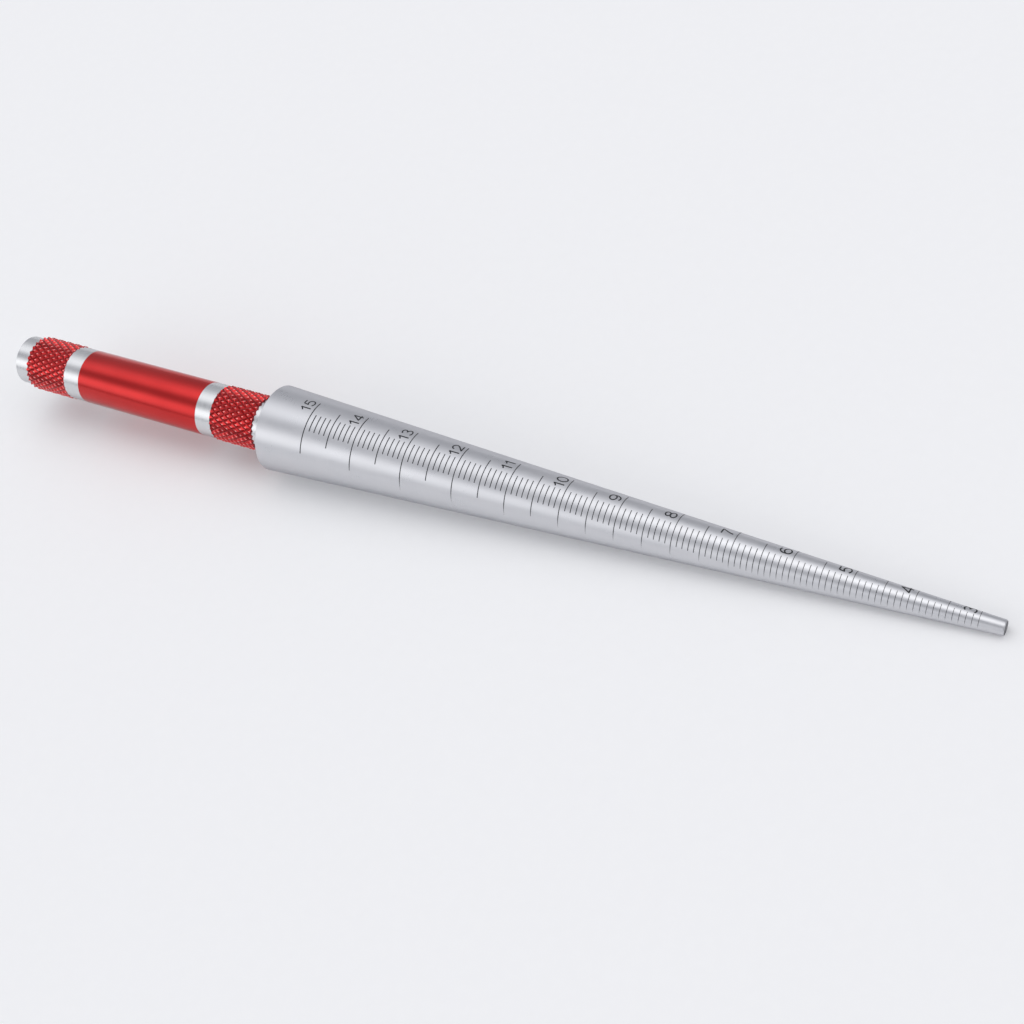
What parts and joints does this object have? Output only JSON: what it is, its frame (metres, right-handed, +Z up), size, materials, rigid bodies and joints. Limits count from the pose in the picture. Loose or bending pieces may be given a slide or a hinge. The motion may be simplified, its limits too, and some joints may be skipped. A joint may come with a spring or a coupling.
{
  "type": "taper gauge",
  "caption": "Graduated steel taper gauge on a knurled red aluminium handle; pushed into a hole or tube, it reads the inner diameter where it stops, and it serves as a small stepless mandrel.",
  "frame": {"origin": "centre of the handle's flat end face", "axes": "+X along the tool's axis from the handle's end face to the cone's tip; +Z up with the tool held level; the scale's numbers run along the top, which faces +Z, and its marks reach from there down the side that faces -Y"},
  "size_m": [0.1925, 0.016, 0.016],
  "materials": {
    "anodised_red": "red anodised, knurled rings and a smooth satin grip",
    "bare_aluminium": "bright turned bands cut through the anodising",
    "satin_steel": "satin, finely turned round the axis",
    "scale_marks": "matt dark marks of the laser-engraved scale, flush with the cone",
    "stud_steel": "blackened set screw"
  },
  "bodies": {
    "root": {"handle": "anodised_red", "taper_gauge": "satin_steel", "joining_stud": "stud_steel"}
  },
  "joints": []
}
